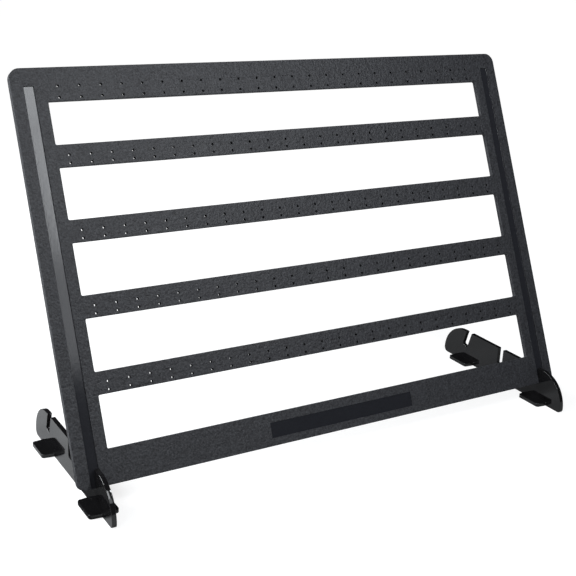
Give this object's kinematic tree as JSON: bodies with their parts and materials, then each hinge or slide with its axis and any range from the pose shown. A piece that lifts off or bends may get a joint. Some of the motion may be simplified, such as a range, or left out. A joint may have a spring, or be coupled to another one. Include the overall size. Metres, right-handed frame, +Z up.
{
  "type": "earring display stand",
  "caption": "Perforated flat panel with open windows, leaning back in the slots of two low side feet, for hanging earrings on show.",
  "frame": {"origin": "on the floor, midway between the two feet and midway along them", "axes": "+X to the viewer's right along the panel, +Y to the rear, the way the panel leans, +Z up"},
  "size_m": [0.381, 0.1366, 0.248],
  "materials": {
    "panel": "fine-grained matte charcoal moulding",
    "feet": "smooth glossy black moulding"
  },
  "bodies": {
    "root": {"display_panel": "panel", "left_foot": "feet", "right_foot": "feet"}
  },
  "joints": []
}
